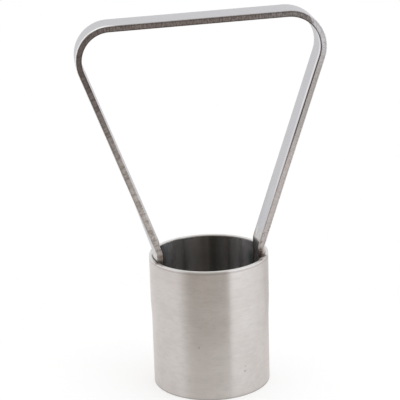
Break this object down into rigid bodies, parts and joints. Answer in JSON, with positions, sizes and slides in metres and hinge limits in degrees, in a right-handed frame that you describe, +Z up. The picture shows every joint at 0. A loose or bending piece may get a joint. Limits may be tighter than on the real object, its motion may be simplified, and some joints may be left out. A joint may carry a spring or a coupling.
{
  "type": "onion corer",
  "caption": "Hand corer: short open stainless steel tube with a sharpened lower rim and a bent flat-strap handle welded inside its mouth.",
  "frame": {"origin": "tube axis in the plane of the cutting edge", "axes": "+Z up along the tube's axis towards the handle's bar, X in the handle's plane from the left leg to the right leg, Y across the strap"},
  "size_m": [0.0779, 0.038, 0.1221],
  "materials": {
    "tube_steel": "fine brushed stainless steel, lines around the tube",
    "handle_steel": "satin stainless strap with rough sheared edges",
    "weld_metal": "rippled weld with brown heat tint"
  },
  "bodies": {
    "root": {"corer_tube": "tube_steel", "handle": "handle_steel", "weld_left_front": "weld_metal", "weld_left_back": "weld_metal", "weld_right_front": "weld_metal", "weld_right_back": "weld_metal"}
  },
  "joints": []
}
